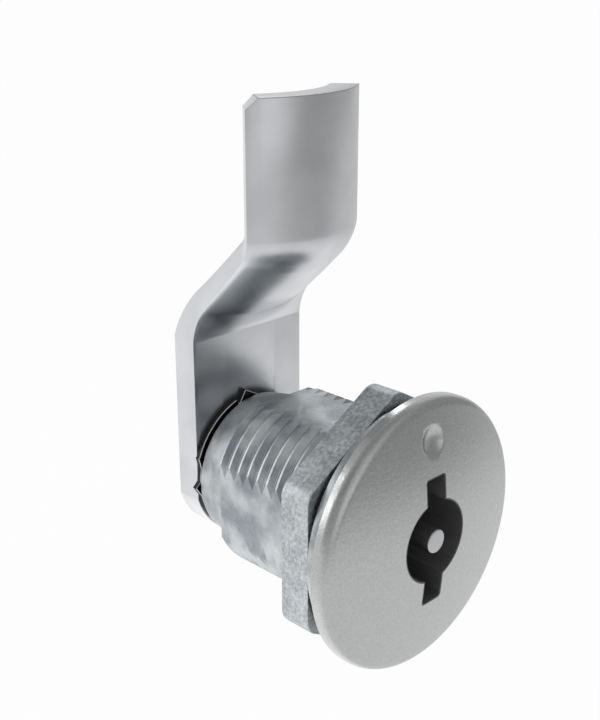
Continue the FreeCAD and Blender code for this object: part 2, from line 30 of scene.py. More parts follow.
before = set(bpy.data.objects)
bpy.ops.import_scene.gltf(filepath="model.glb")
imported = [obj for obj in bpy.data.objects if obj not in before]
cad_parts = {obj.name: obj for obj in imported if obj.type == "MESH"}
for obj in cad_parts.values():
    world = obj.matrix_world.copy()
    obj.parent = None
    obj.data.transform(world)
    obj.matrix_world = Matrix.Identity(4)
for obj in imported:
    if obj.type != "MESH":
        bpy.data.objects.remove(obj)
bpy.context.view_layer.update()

MM = 0.001
# how close two vertices lie, in metres, to be joined in a finished piece
FINE_GAP = 0.000001

# places along the axis, from the front back
FLANGE_FRONT = -1.65
HEAD_BACK = -1.85
FACE = -5.57
POCKET_FLOOR = FACE + 1.4
KEY_FLOOR = FACE + 7.0
INSERT_BACK = KEY_FLOOR + 1.2
COLLAR_END = INSERT_BACK + 2.5
THREAD_START = -0.8
THREAD_END = 17.6
NOSE_END = 22.4
STOP_FRONT = 22.75
CAM_FRONT = 23.39
CAM_BACK = 26.64
WASHER_BACK = 27.94
SCREW_TOP = WASHER_BACK + 2.6
SCREW_TIP = CAM_BACK - 8.2

# barrel and nut
THREAD_RADIUS = 11.0
THREAD_PITCH = 1.5
THREAD_DEPTH = 0.5
THREAD_CREST = 0.27
THREAD_ROOT = 0.04
THREAD_PHASE = 153.0
THREAD_TURNS = 17
FLATS = 20.0
NOSE_RADIUS = 9.7
NOSE_END_RADIUS = 8.9
FLANGE_RADIUS = 14.0
COUNTERBORE = 8.8
BORE = 6.45
NUT_FRONT = 0.35
NUT_THICKNESS = 3.85
NUT_WIDTH = 27.0
NUT_CORNER_RADIUS = 15.25
NUT_BORE = 11.05

# head
HEAD_RADIUS = 15.5
DOME_RADIUS = 66.0
RIM_RADIUS = 1.35
DOT_OFFSET = 11.3
DOT_RADIUS = 1.8
DOT_DEPTH = 0.6
COLLAR_INNER = 7.92
COLLAR_OUTER = 8.72
INSERT_RADIUS = 7.9
PIN_RADIUS = 1.35
PIN_SHANK = 1.05
PIN_ROUNDING = 0.15

# key opening: its round middle, the half width and the reach of its wings, and their corners
KEY_RADIUS = 4.8
KEY_HALF_WING = 1.6
KEY_TIP = 7.5
KEY_CORNER = 0.45
LINING_WALL = 0.15
LINING_REACH = 8.2
TONGUE_HALF_WIDTH = 6.0
TONGUE_HALF_THICKNESS = 1.5

# toothed disc behind the nose: angles in degrees from +X towards +Z
STOP_RADIUS = 8.6
STOP_EDGE = 0.07
# the sector's radius, start and end, and each tooth's tip radius, start, peak and end
STOP_SECTOR = (9.2, 107, 158)
STOP_TEETH = ((9.8, 77, 97, 106), (9.3, 147, 160, 172), (9.3, 177, 183, 198))
# the lug's inner and outer radius, width in degrees and reach into its slot in the nose
LUG = (6.65, 8.4, 30.0, 1.6)
# the slot's inner and outer radius and depth
SLOT = (6.4, 8.48, 1.4)
# half the square on the spindle, with its play, through the toothed disc and the cam
SQUARE_HALF = 4.05

# washer and screw
WASHER_INNER = 3.05
WASHER_OUTER = 5.3
SCREW_RADIUS = 3.0
SCREW_HEAD_RADIUS = 5.7
SCREW_ROUNDING = 0.8
SOCKET_WIDTH = 4.0
SOCKET_DEPTH = 1.6

# cam
CAM_HALF_WIDTH = 8.5
HUB_END_RADIUS = 8.85
CAM_TOP = 45.25
CAM_EDGE = 0.22
NECK_START = 17.1
NECK_ANGLE = radians(43.5)
CREASE = radians(4.5)
HUB_BEND = 6.2
BLADE_BEND = 3.9
ARCH_RADIUS = 13.6
ARCH_GROWTH = 2.8
ARCH_EASE = 0.03
BLADE_FRONT = 11.22
BLADE_CORNER = 1.2

# worked out from these: the arch's full rise, the bends' radii once the creases have taken
# their share of the turn, and what a bend takes in depth and in height for each millimetre
ARCH_RISE = ARCH_RADIUS - sqrt(ARCH_RADIUS ** 2 - CAM_HALF_WIDTH ** 2)
HUB_CURVE = HUB_BEND * NECK_ANGLE / (NECK_ANGLE - CREASE)
BLADE_CURVE = BLADE_BEND * NECK_ANGLE / (NECK_ANGLE - CREASE)
BEND_FALL = cos(CREASE) - cos(NECK_ANGLE)
BEND_CLIMB = sin(NECK_ANGLE) - sin(CREASE)
# the straight slope between the bends, where the first bend leaves it and where it ends
SLOPE_DEPTH = CAM_FRONT - BLADE_FRONT - ARCH_RISE - (HUB_CURVE + BLADE_CURVE) * BEND_FALL
SLOPE = SLOPE_DEPTH / sin(NECK_ANGLE)
SLOPE_FRONT = CAM_FRONT - HUB_CURVE * BEND_FALL
SLOPE_START = NECK_START + HUB_CURVE * BEND_CLIMB
SLOPE_TOP = SLOPE_START + SLOPE * cos(NECK_ANGLE)
BLADE_START = SLOPE_TOP + BLADE_CURVE * BEND_CLIMB
# the same stretches on the flat blank
BLANK_BEND_END = NECK_START + HUB_BEND * NECK_ANGLE
BLANK_SLOPE_END = BLANK_BEND_END + SLOPE
BLANK_NECK_END = BLANK_SLOPE_END + BLADE_BEND * NECK_ANGLE
BLANK_TOP = BLANK_NECK_END + CAM_TOP - BLADE_START

# camera, in millimetres and degrees
CAMERA_PLACE = (-87.80, -72.39, 60.84)
CAMERA_DOWN = 20.23
CAMERA_TURN = 45.18
CAMERA_LENS = 58.27
CAMERA_SENSOR = 36


# working with pieces

def fresh():
    """Leaves edit mode and lets go of everything."""
    if bpy.context.mode != "OBJECT":
        bpy.ops.object.mode_set(mode="OBJECT")
    bpy.ops.object.select_all(action="DESELECT")


def take(piece):
    """Makes one piece the chosen and active one."""
    fresh()
    piece.select_set(True)
    bpy.context.view_layer.objects.active = piece
    return piece


def named(name):
    """Names the piece just added and puts its place into its mesh."""
    piece = bpy.context.object
    piece.name = name
    piece.data.name = name
    bpy.ops.object.transform_apply(location=True, rotation=True, scale=True)
    return piece


def pick(piece, test, kind):
    """In edit mode, chooses the edges or faces whose middle passes the test."""
    bpy.ops.mesh.select_mode(type=kind)
    bpy.ops.mesh.select_all(action="DESELECT")
    made = bmesh.from_edit_mesh(piece.data)
    if kind == "EDGE":
        for edge in made.edges:
            if test((edge.verts[0].co + edge.verts[1].co) / 2 / MM):
                edge.select = True
    else:
        for face in made.faces:
            if test(face.calc_center_median() / MM):
                face.select = True
    made.select_flush_mode()
    bmesh.update_edit_mesh(piece.data)


def split(point, normal, **sides):
    """In edit mode, cuts the whole piece at a plane; a side may be cleared and the cut filled."""
    bpy.ops.mesh.select_all(action="SELECT")
    bpy.ops.mesh.bisect(plane_co=Vector(point) * MM, plane_no=normal, threshold=0.00000001, **sides)


def closed(piece, gap=0.00001):
    """Joins doubled vertices, closes slits that are left and points every face outwards."""
    take(piece)
    bpy.ops.object.mode_set(mode="EDIT")
    bpy.ops.mesh.select_all(action="SELECT")
    bpy.ops.mesh.remove_doubles(threshold=gap)
    bpy.ops.mesh.dissolve_degenerate(threshold=0.0000005)
    bpy.ops.mesh.fill_holes(sides=6)
    bpy.ops.mesh.select_all(action="SELECT")
    bpy.ops.mesh.normals_make_consistent(inside=False)
    bpy.ops.object.mode_set(mode="OBJECT")
    return piece


def turned(name, rings, sides=192, tube=False):
    """Turns a shape round the axis: rings of radius and place, each pulled out of the last."""
    fresh()
    radius, along = rings[0]
    bpy.ops.mesh.primitive_circle_add(
        vertices=sides, radius=radius * MM, fill_type="NOTHING" if tube else "NGON",
        location=(0, along * MM, 0), rotation=(pi / 2, 0, 0))
    piece = named(name)
    bpy.ops.object.mode_set(mode="EDIT")
    bpy.ops.mesh.select_mode(type="VERT")
    bpy.ops.mesh.select_all(action="SELECT")
    for next_radius, next_along in rings[1:] + (rings[:1] if tube else []):
        bpy.ops.mesh.extrude_region_move(
            TRANSFORM_OT_translate={"value": (0, (next_along - along) * MM, 0)})
        grow = next_radius / radius
        bpy.ops.transform.resize(
            value=(grow, 1, grow), center_override=(0, next_along * MM, 0))
        radius, along = next_radius, next_along
    bpy.ops.object.mode_set(mode="OBJECT")
    return closed(piece)


def ring_piece(name, inner, outer, front, back, start, end):
    """Part of a square-edged ring round the axis, between two angles from +X towards +Z."""
    fresh()
    middle = (inner + outer) / 2
    turn = radians(start)
    bpy.ops.mesh.primitive_plane_add(
        size=MM, location=(middle * cos(turn) * MM, (front + back) / 2 * MM, middle * sin(turn) * MM),
        rotation=(0, -turn, 0))
    bpy.context.object.scale = (outer - inner, back - front, 1)
    ring = named(name)
    bpy.ops.object.mode_set(mode="EDIT")
    bpy.ops.mesh.select_all(action="SELECT")
    bpy.ops.mesh.spin(steps=int(end - start), angle=radians(end - start), center=(0, 0, 0),
                      axis=(0, 1, 0))
    bpy.ops.object.mode_set(mode="OBJECT")
    return closed(ring)


def block(name, low, high):
    """A plain block between two corners, to cut with or to cut from."""
    fresh()
    middle = [(a + b) / 2 * MM for a, b in zip(low, high)]
    bpy.ops.mesh.primitive_cube_add(size=1, location=middle,
                                    scale=[(b - a) * MM for a, b in zip(low, high)])
    return named(name)


def modify(piece, kind, **settings):
    """Adds one modifier, sets it and applies it."""
    take(piece)
    change = piece.modifiers.new(kind.lower(), kind)
    for key, item in settings.items():
        setattr(change, key, item)
    bpy.ops.object.modifier_apply(modifier=change.name)
    return piece


def combine(piece, tool, how):
    """Cuts with, joins to or keeps what is shared with a second piece, which is used up."""
    modify(piece, "BOOLEAN", object=tool, operation=how, solver="EXACT")
    bpy.data.objects.remove(tool)
    return piece


def soften(piece, width, angle=30, segments=3):
    """Rounds the edges sharper than the angle."""
    return modify(piece, "BEVEL", width=width * MM, segments=segments, limit_method="ANGLE",
                  angle_limit=radians(angle), harden_normals=False)


def smooth(piece, angle=30):
    """Shades smoothly over the edges flatter than the angle."""
    take(piece)
    bpy.ops.object.shade_smooth_by_angle(angle=radians(angle))
    return piece


def arc(centre, radius, start, end, steps):
    """Points on an arc, each as across and along; 0 points outwards and 90 towards the front."""
    turns = [radians(start + (end - start) * step / steps) for step in range(steps + 1)]
    return [(centre[0] + radius * cos(turn), centre[1] - radius * sin(turn)) for turn in turns]


# head

def key_cutter(name, less, corner, front, back):
    """The key opening's shape, made smaller all round by a little: a round bar joined to an
    upright bar with rounded tips."""
    radius = KEY_RADIUS - less
    half_wing = KEY_HALF_WING - less
    tip = KEY_TIP - less
    wing = block(name, (-half_wing, front, -tip), (half_wing, back, tip))
    take(wing)
    bpy.ops.object.mode_set(mode="EDIT")
    pick(wing, lambda at: abs(at.x) > half_wing / 2 and abs(at.z) > tip / 2, "EDGE")
    bpy.ops.mesh.bevel(offset=corner * MM, segments=6, affect="EDGES")
    bpy.ops.object.mode_set(mode="OBJECT")
    middle = turned("key_round", [(radius, front - 0.01), (radius, back + 0.01)], sides=128)
    return combine(wing, middle, "UNION")


def dome_rings(centre, reach, steps):
    """Rings of radius and place on the dome, from near its middle to an angle from the axis."""
    turns = [reach * step / steps for step in range(1, steps + 1)]
    return [(DOME_RADIUS * sin(turn), centre - DOME_RADIUS * cos(turn)) for turn in turns]


def make_head():
    """The domed disc with its rounded rim, key opening, collar behind and dished dot."""
    dome_centre = FACE + DOME_RADIUS
    rim_across = HEAD_RADIUS - RIM_RADIUS
    rim_along = dome_centre - sqrt((DOME_RADIUS - RIM_RADIUS) ** 2 - rim_across ** 2)
    meet = degrees(atan2(dome_centre - rim_along, rim_across))
    dome = dome_rings(dome_centre, asin(rim_across / (DOME_RADIUS - RIM_RADIUS)), 24)
    rim = arc((rim_across, rim_along), RIM_RADIUS, meet, 0, 14)[1:]
    back_edge = 0.12
    rings = dome + rim + [
        (HEAD_RADIUS, HEAD_BACK - back_edge), (HEAD_RADIUS - back_edge, HEAD_BACK),
        (COLLAR_OUTER, HEAD_BACK), (COLLAR_OUTER, COLLAR_END), (COLLAR_INNER, COLLAR_END),
        (COLLAR_INNER, POCKET_FLOOR), (1.0, POCKET_FLOOR)]
    head = turned("turning_head", rings, sides=256)
    combine(head, key_cutter("key_opening", 0, KEY_CORNER, FACE - 1, POCKET_FLOOR + 1),
            "DIFFERENCE")
    # the dish is turned on the axis, then swung about the dome's centre, square to the dome
    ball = (DOT_RADIUS ** 2 + DOT_DEPTH ** 2) / (2 * DOT_DEPTH)
    reach = asin(DOT_RADIUS / ball)
    dish = [(DOT_RADIUS + 0.5, FACE - 0.3), (DOT_RADIUS + 0.12, FACE)]
    for step in range(1, 12):
        turn = reach * (1 - step / 12)
        dish.append((ball * sin(turn), FACE + DOT_DEPTH - ball * (1 - cos(turn))))
    dot = turned("dished_dot", dish, sides=72)
    swing = asin(DOT_OFFSET / DOME_RADIUS)
    for vert in dot.data.vertices:
        across, along, up = vert.co / MM
        out = dome_centre - along
        vert.co = Vector((across, dome_centre - out * cos(swing) + up * sin(swing),
                          out * sin(swing) + up * cos(swing))) * MM
    combine(head, dot, "DIFFERENCE")
    return smooth(closed(head, FINE_GAP))


def make_insert():
    """The moulding behind the face: a plug whose lining reaches up through the opening."""
    insert = turned("moulded_insert", [
        (INSERT_RADIUS - 0.2, POCKET_FLOOR), (INSERT_RADIUS, POCKET_FLOOR + 0.2),
        (INSERT_RADIUS, INSERT_BACK - 0.2), (INSERT_RADIUS - 0.2, INSERT_BACK)], sides=128)
    lining = key_cutter("lining", 0.01, KEY_CORNER, FACE - 1, POCKET_FLOOR + 1)
    # the lining ends just under the dome
    under = dome_rings(FACE + 0.03 + DOME_RADIUS, asin(LINING_REACH / DOME_RADIUS), 12)
    combine(lining, turned("under_dome", under + [(LINING_REACH, 0.0)], sides=128), "INTERSECT")
    combine(insert, lining, "UNION")
    tongue = block("drive_tongue",
                   (-TONGUE_HALF_WIDTH, INSERT_BACK - 0.5, -TONGUE_HALF_THICKNESS),
                   (TONGUE_HALF_WIDTH, INSERT_BACK + 1.2, TONGUE_HALF_THICKNESS))
    combine(insert, tongue, "UNION")
    combine(insert, key_cutter("key_cavity", LINING_WALL, KEY_CORNER - LINING_WALL,
                               FACE - 1, KEY_FLOOR), "DIFFERENCE")
    pin_hole = PIN_SHANK + 0.02
    combine(insert, turned("pin_way", [(pin_hole, KEY_FLOOR - 1), (pin_hole, INSERT_BACK + 2)],
                           sides=48), "DIFFERENCE")
    soften(closed(insert, FINE_GAP), 0.05, angle=60, segments=2)
    return smooth(closed(insert, FINE_GAP), 35)


def make_pin():
    """The key's centre pin, its end just rounded, on a thinner shank."""
    rings = [(PIN_RADIUS - 0.2, FACE)]
    rings += arc((PIN_RADIUS - PIN_ROUNDING, FACE + PIN_ROUNDING), PIN_ROUNDING, 75, 0, 5)
    rings += [(PIN_RADIUS, KEY_FLOOR), (PIN_SHANK, KEY_FLOOR), (PIN_SHANK, INSERT_BACK + 4.2)]
    return smooth(turned("centre_pin", rings, sides=96), 35)


# housing

def make_thread():
    """A long threaded bar: one turn's profile screwed round the axis, trimmed to the barrel."""
    fresh()
    lowest = THREAD_END + THREAD_PITCH * (THREAD_PHASE / 360 - THREAD_TURNS + 2)
    flank = (THREAD_PITCH - THREAD_CREST - THREAD_ROOT) / 2
    bpy.ops.mesh.primitive_circle_add(vertices=3, radius=MM)
    thread = named("thread")
    bpy.ops.object.mode_set(mode="EDIT")
    bpy.ops.mesh.select_all(action="SELECT")
    bpy.ops.mesh.merge(type="CENTER")
    bpy.ops.transform.translate(value=(THREAD_RADIUS * MM, (lowest - THREAD_CREST / 2) * MM, 0))
    for across, along in ((0, THREAD_CREST), (-THREAD_DEPTH, flank), (0, THREAD_ROOT),
                          (THREAD_DEPTH, flank)):
        bpy.ops.mesh.extrude_region_move(
            TRANSFORM_OT_translate={"value": (across * MM, along * MM, 0)})
    bpy.ops.object.mode_set(mode="OBJECT")
    modify(thread, "SCREW", axis="Y", angle=2 * pi, screw_offset=THREAD_PITCH * MM,
           iterations=THREAD_TURNS, steps=144, render_steps=144, use_merge_vertices=False,
           use_smooth_shade=True)
    closed(thread, 0.000002)
    bpy.ops.object.mode_set(mode="EDIT")
    for place, keep in ((THREAD_START, 1), (THREAD_END, -1)):
        split((0, place, 0), (0, keep, 0), use_fill=True, clear_inner=True)
    bpy.ops.mesh.select_all(action="SELECT")
    bpy.ops.mesh.normals_make_consistent(inside=False)
    bpy.ops.object.mode_set(mode="OBJECT")
    return thread


def make_housing():
    """The casting: flange, threaded barrel with four flats, tapered nose, bores and stop slot."""
    thread = make_thread()
    flats = block("four_flats", (-FLATS / 2, THREAD_START - 0.2, -FLATS / 2),
                  (FLATS / 2, THREAD_END + 0.4, FLATS / 2))
    combine(thread, flats, "INTERSECT")
    edge = FLANGE_RADIUS
    casting = turned("housing_casting", [
        (edge - 0.3, FLANGE_FRONT), (edge - 0.09, FLANGE_FRONT + 0.09), (edge, FLANGE_FRONT + 0.3),
        (edge, -0.06), (edge - 0.06, 0.0), (NOSE_RADIUS, 0.0), (NOSE_RADIUS, THREAD_END),
        (NOSE_END_RADIUS, NOSE_END - 0.1), (NOSE_END_RADIUS - 0.1, NOSE_END), (7, NOSE_END)],
        sides=192)
    combine(casting, thread, "UNION")
    step = COLLAR_END + 0.2
    combine(casting, turned("bore", [(COUNTERBORE, FLANGE_FRONT - 1), (COUNTERBORE, step),
                                     (BORE, step), (BORE, NOSE_END + 1)], sides=128), "DIFFERENCE")
    # the slot reaches a quarter turn round from the lug, with a degree of play at each end
    inner, outer, deep = SLOT
    half = LUG[2] / 2 + 1
    combine(casting, ring_piece("stop_slot", inner, outer, NOSE_END - deep, NOSE_END + 1,
                                -90 - half, half), "DIFFERENCE")
    return smooth(closed(casting, FINE_GAP), 25)


def beside_turned_corner(at):
    """Whether an edge's middle lies where a flat of the nut meets a turned corner."""
    out = max(abs(at.x * cos(radians(turn)) + at.z * sin(radians(turn))) for turn in (0, 60, 120))
    on_flat = abs(out - NUT_WIDTH / 2) < 0.01
    return on_flat and at.x ** 2 + at.z ** 2 > (NUT_CORNER_RADIUS - 0.2) ** 2


def make_nut():
    """A hexagon nut whose corners are turned down and softened."""
    fresh()
    bpy.ops.mesh.primitive_cylinder_add(
        vertices=6, radius=NUT_WIDTH / sqrt(3) * MM, depth=NUT_THICKNESS * MM,
        location=(0, (NUT_FRONT + NUT_THICKNESS / 2) * MM, 0), rotation=(pi / 2, 0, 0))
    nut = named("panel_nut")
    back = NUT_FRONT + NUT_THICKNESS
    # 72 sides, so that each turned corner is two facets that meet in its middle
    combine(nut, turned("turned_corners", [(NUT_CORNER_RADIUS, NUT_FRONT - 1),
                                           (NUT_CORNER_RADIUS, back + 1)], sides=72), "INTERSECT")
    take(nut)
    bpy.ops.object.mode_set(mode="EDIT")
    pick(nut, beside_turned_corner, "EDGE")
    bpy.ops.mesh.bevel(offset=0.4 * MM, segments=4, affect="EDGES")
    bpy.ops.object.mode_set(mode="OBJECT")
    combine(nut, turned("nut_bore", [(NUT_BORE, NUT_FRONT - 1), (NUT_BORE, back + 1)], sides=128),
            "DIFFERENCE")
    soften(nut, 0.12, angle=20)
    return smooth(nut)


# toothed disc, washer and screw behind the nose

def square(name, front, back):
    """The spindle's square with its play, to cut through what rides on it."""
    return block(name, (-SQUARE_HALF, front - 1, -SQUARE_HALF), (SQUARE_HALF, back + 1, SQUARE_HALF))


def edge_radius(first, last, angle):
    """How far out a straight edge between two corners, each a radius and an angle, lies."""
    (x1, z1), (x2, z2) = [(radius * cos(radians(turn)), radius * sin(radians(turn)))
                          for radius, turn in (first, last)]
    way = radians(angle)
    return (x1 * z2 - x2 * z1) / (cos(way) * (z2 - z1) - sin(way) * (x2 - x1))


def stop_rim(angle):
    """The toothed disc's radius at an angle; its two halves are alike."""
    first = STOP_TEETH[0][1]
    angle = (angle - first) % 180 + first
    reach = STOP_RADIUS
    radius, start, end = STOP_SECTOR
    if start <= angle <= end:
        reach = radius
    # the teeth's sides start a little inside the rim
    base = STOP_RADIUS - 0.3
    for tip, start, peak, end in STOP_TEETH:
        if start < angle <= peak:
            reach = max(reach, edge_radius((base, start), (tip, peak), angle))
        elif peak < angle < end:
            reach = max(reach, edge_radius((tip, peak), (base, end), angle))
    return reach


def make_stop_disc():
    """A turned disc whose rim is drawn out to the sectors and teeth, with its lug and square."""
    disc = turned("toothed_disc", [
        (STOP_RADIUS - STOP_EDGE, STOP_FRONT), (STOP_RADIUS, STOP_FRONT + STOP_EDGE),
        (STOP_RADIUS, CAM_FRONT - STOP_EDGE), (STOP_RADIUS - STOP_EDGE, CAM_FRONT)], sides=360)
    for vert in disc.data.vertices:
        across, along, up = vert.co
        grow = stop_rim(degrees(atan2(up, across))) / STOP_RADIUS
        vert.co = Vector((across * grow, along, up * grow))
    inner, outer, width, reach = LUG
    combine(disc, ring_piece("stop_lug", inner, outer, STOP_FRONT - reach, STOP_FRONT + 0.3,
                             -90 - width / 2, -90 + width / 2), "UNION")
    combine(disc, square("stop_square", STOP_FRONT, CAM_FRONT), "DIFFERENCE")
    # only the front bevel is marked, so that the finish paints it a light metal colour: a painted
    # highlight along the disc's front edge
    edge_highlight = disc.data.attributes.new("painted_highlight_edge", "FLOAT", "FACE")
    for face in disc.data.polygons:
        edge_highlight.data[face.index].value = 1.0 if -0.95 < face.normal.y < -0.3 else 0.0
    return smooth(disc, 25)


def make_washer():
    """A split spring washer, its ring cut through on one side."""
    small, large = 0.1, 0.15
    washer = turned("split_washer", [
        (WASHER_INNER, CAM_BACK + small), (WASHER_INNER + small, CAM_BACK),
        (WASHER_OUTER - large, CAM_BACK), (WASHER_OUTER, CAM_BACK + large),
        (WASHER_OUTER, WASHER_BACK - large), (WASHER_OUTER - large, WASHER_BACK),
        (WASHER_INNER + small, WASHER_BACK), (WASHER_INNER, WASHER_BACK - small)],
        sides=96, tube=True)
    combine(washer, block("washer_gap", (0, CAM_BACK - 1, -0.3), (6, WASHER_BACK + 1, 0.3)),
            "DIFFERENCE")
    return smooth(washer)


def make_screw():
    """A round-headed screw with a hexagon socket and a rounded crown."""
    crown_across = SCREW_HEAD_RADIUS - SCREW_ROUNDING
    crown = arc((crown_across, SCREW_TOP - SCREW_ROUNDING), SCREW_ROUNDING, 0, -80, 8)
    screw = turned("cam_screw_head", [
        (SCREW_RADIUS - 0.6, SCREW_TIP), (SCREW_RADIUS, SCREW_TIP + 0.6),
        (SCREW_RADIUS, WASHER_BACK), (SCREW_HEAD_RADIUS - 0.15, WASHER_BACK),
        (SCREW_HEAD_RADIUS, WASHER_BACK + 0.15)] + crown + [(crown_across - 0.5, SCREW_TOP)],
        sides=128)
    fresh()
    bpy.ops.mesh.primitive_cylinder_add(
        vertices=6, radius=SOCKET_WIDTH / sqrt(3) * MM, depth=2 * SOCKET_DEPTH * MM,
        location=(0, SCREW_TOP * MM, 0), rotation=(pi / 2, 0, 0))
    combine(screw, named("hexagon_socket"), "DIFFERENCE")
    soften(screw, 0.08, angle=50, segments=2)
    return smooth(screw, 35)


# cam

def cam_path(height):
    """Where the side edge's front corner lies for a height on the blank above the hub:
    place along the axis, height, tilt, and how far the bending has gone from 0 to 1."""
    if height < BLANK_BEND_END:
        run = height - NECK_START
        tilt = CREASE + run / HUB_CURVE
        return (CAM_FRONT - HUB_CURVE * (cos(CREASE) - cos(tilt)),
                NECK_START + HUB_CURVE * (sin(tilt) - sin(CREASE)), tilt,
                run / (BLANK_BEND_END - NECK_START) / 3)
    if height < BLANK_SLOPE_END:
        run = height - BLANK_BEND_END
        return (SLOPE_FRONT - run * sin(NECK_ANGLE), SLOPE_START + run * cos(NECK_ANGLE),
                NECK_ANGLE, (1 + run / SLOPE) / 3)
    if height < BLANK_NECK_END:
        run = height - BLANK_SLOPE_END
        tilt = NECK_ANGLE - run / BLADE_CURVE
        return (BLADE_FRONT + ARCH_RISE + BLADE_CURVE * (cos(CREASE) - cos(tilt)),
                SLOPE_TOP + BLADE_CURVE * (sin(NECK_ANGLE) - sin(tilt)), tilt,
                (2 + run / (BLANK_NECK_END - BLANK_SLOPE_END)) / 3)
    return BLADE_FRONT + ARCH_RISE, BLADE_START + height - BLANK_NECK_END, 0.0, 1.0


def rows(low, high, count):
    """Evenly spaced heights from low up to just short of high."""
    return [low + (high - low) * step / count for step in range(count)]


def make_cam():
    """A flat blank with a round end, softened, cut into a fine grid and then bent to shape."""
    corner = -sqrt(HUB_END_RADIUS ** 2 - CAM_HALF_WIDTH ** 2)
    cam = turned("cranked_cam", [(HUB_END_RADIUS, CAM_FRONT), (HUB_END_RADIUS, CAM_BACK)], sides=288)
    bpy.ops.object.mode_set(mode="EDIT")
    split((0, 0, corner), (0, 0, 1), use_fill=True, clear_outer=True)
    pick(cam, lambda at: at.z > corner - 0.001, "FACE")
    bpy.ops.mesh.extrude_region_move(
        TRANSFORM_OT_translate={"value": (0, 0, (BLANK_TOP - corner) * MM)})
    split((BLADE_CORNER / 2 - CAM_HALF_WIDTH, 0, BLANK_TOP - BLADE_CORNER / 2), (-1, 0, 1),
          use_fill=True, clear_outer=True)
    bpy.ops.object.mode_set(mode="OBJECT")
    combine(cam, square("cam_square", CAM_FRONT, CAM_BACK), "DIFFERENCE")
    soften(cam, CAM_EDGE, angle=40)
    take(cam)
    bpy.ops.object.mode_set(mode="EDIT")
    # rows across the bends, with one close above and below each crease to keep it crisp
    close = 0.08
    heights = [crease + side for crease in (NECK_START, BLANK_NECK_END)
               for side in (-close, close)]
    heights += rows(NECK_START, BLANK_BEND_END, 18)
    heights += rows(BLANK_BEND_END, BLANK_SLOPE_END, 24)
    heights += rows(BLANK_SLOPE_END, BLANK_NECK_END, 16) + [BLANK_NECK_END]
    for height in heights:
        split((0, 0, height), (0, 0, 1))
    for across in rows(-CAM_HALF_WIDTH, CAM_HALF_WIDTH, 28)[1:]:
        split((across, 0, 0), (1, 0, 0))
    bpy.ops.object.mode_set(mode="OBJECT")
    for vert in cam.data.vertices:
        across, along, height = vert.co / MM
        if height <= NECK_START:
            continue
        front, up, tilt, gone = cam_path(height)
        # the plate arches as it bends, and is never quite flat, so that the arch has a radius
        eased = gone ** 2 / (gone + ARCH_EASE)
        bow = max(1 - (1 - eased) ** ARCH_GROWTH, 0.001) * ARCH_RISE
        radius = (CAM_HALF_WIDTH ** 2 + bow ** 2) / (2 * bow)
        turn = asin(across / radius)
        deep = along - CAM_FRONT
        back = (radius - bow) - (radius - deep) * cos(turn)
        vert.co = Vector(((radius - deep) * sin(turn), front + back * cos(tilt),
                          up + back * sin(tilt))) * MM
    return smooth(closed(cam, FINE_GAP), 35)


# finishes

class Wire:
    """One value in a finish; plus, minus, times and divided by work on it as on a number."""

    def __init__(self, finish, socket):
        self.finish = finish
        self.socket = socket

    def maths(self, operation, *values):
        """One sum with the values given."""
        return self.finish.node("ShaderNodeMath", {"operation": operation},
                                dict(enumerate(values)))

    def __add__(self, other):
        return self.maths("ADD", self, other)

    def __radd__(self, other):
        return self.maths("ADD", other, self)

    def __sub__(self, other):
        return self.maths("SUBTRACT", self, other)

    def __rsub__(self, other):
        return self.maths("SUBTRACT", other, self)

    def __mul__(self, other):
        return self.maths("MULTIPLY", self, other)

    def __rmul__(self, other):
        return self.maths("MULTIPLY", other, self)

    def __truediv__(self, other):
        return self.maths("DIVIDE", self, other)

    def __rtruediv__(self, other):
        return self.maths("DIVIDE", other, self)

    def larger(self, other):
        """The larger of two values."""
        return self.maths("MAXIMUM", self, other)

    def step(self, low, high):
        """0 below low, 1 above high, and smooth between them."""
        return self.finish.node("ShaderNodeMapRange", {"interpolation_type": "SMOOTHSTEP"},
                                {"Value": self, "From Min": low, "From Max": high})


